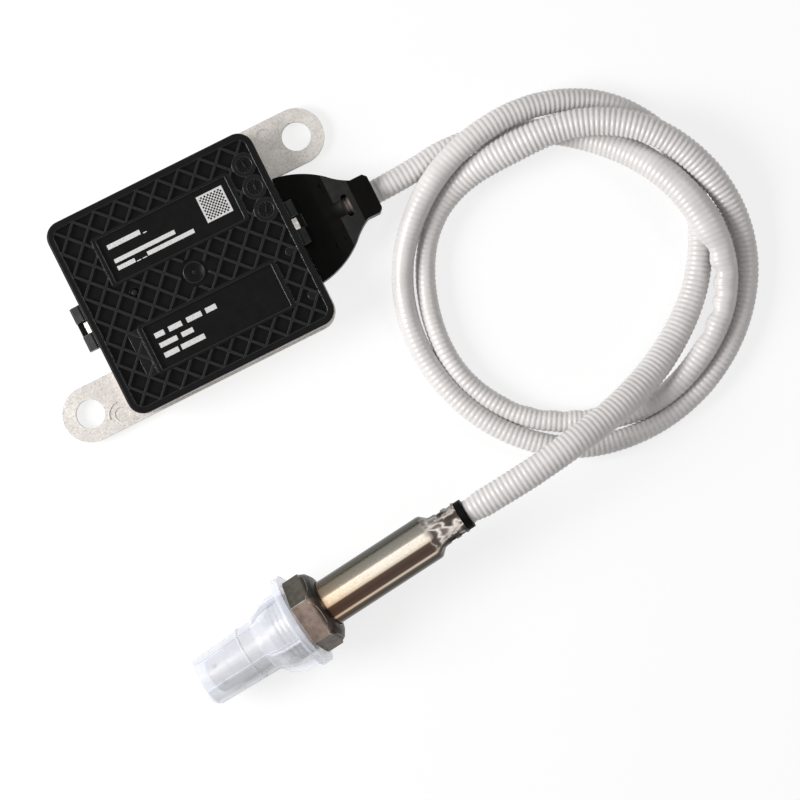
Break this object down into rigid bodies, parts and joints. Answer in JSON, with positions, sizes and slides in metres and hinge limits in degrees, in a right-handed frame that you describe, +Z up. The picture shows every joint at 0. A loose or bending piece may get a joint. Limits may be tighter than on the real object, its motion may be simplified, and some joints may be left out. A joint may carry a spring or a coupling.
{
  "type": "nitrogen oxide sensor",
  "caption": "Exhaust gas sensor with a flat control module on two bolt ears, a looped corrugated hose and a screw-in probe under a translucent cap.",
  "frame": {"origin": "midway between the two bolt holes of the control module, on its underside", "axes": "+X along the module towards the harness guide, +Z up out of the cover, +Y from the label rows towards the connector side"},
  "size_m": [0.2169, 0.1572, 0.0303],
  "materials": {
    "cast_alloy": "as cast, lightly speckled",
    "black_moulding": "satin black",
    "black_rubber": "matt",
    "board_green": "solder mask",
    "chip_black": "matt",
    "can_metal": "satin",
    "screw_steel": "zinc plated",
    "contact_brass": "tinned",
    "seal_silicone": "matt",
    "lead_insulation": "satin",
    "hose_grey": "semi-gloss",
    "polished_steel": "polished",
    "turned_steel": "turned",
    "nut_steel": "satin, dark",
    "ceramic_white": "matt",
    "powder_grey": "pressed",
    "cap_translucent": "translucent, satin"
  },
  "bodies": {
    "sensor": {"base_housing": "cast_alloy", "cover": "black_moulding", "cover_gasket": "black_rubber", "circuit_board": "board_green", "microcontroller": "chip_black", "signal_chip": "chip_black", "power_transistors": "chip_black", "capacitors": "can_metal", "board_screws": "screw_steel", "vehicle_connector": "black_moulding", "connector_pins": "contact_brass", "wire_seal": "seal_silicone", "lead_terminals": "contact_brass", "sensor_leads": "lead_insulation", "harness_guide": "black_moulding", "guide_plate": "black_moulding", "corrugated_hose": "hose_grey", "crimp_sleeve": "polished_steel", "probe_grommet": "black_rubber", "probe_leads": "lead_insulation", "contact_holder": "ceramic_white", "contact_springs": "contact_brass", "sensing_element": "ceramic_white", "rear_ceramic": "ceramic_white", "powder_packing": "powder_grey", "front_ceramic": "ceramic_white", "sensor_housing": "turned_steel", "inner_shield": "turned_steel", "outer_shield": "turned_steel"},
    "nut": {"union_nut": "nut_steel"},
    "cap": {"protective_cap": "cap_translucent"}
  },
  "joints": [
    {"name": "nut_turn", "type": "hinge", "parent": "sensor", "child": "nut", "pos_m": [-0.0157, -0.1091, 0.01528], "axis": [-0.9856, -0.1175, -0.1219], "continuous": true},
    {"name": "cap_pull", "type": "slide", "parent": "nut", "child": "cap", "axis": [-0.9856, -0.1175, -0.1219], "range_m": [0, 0.045]}
  ]
}
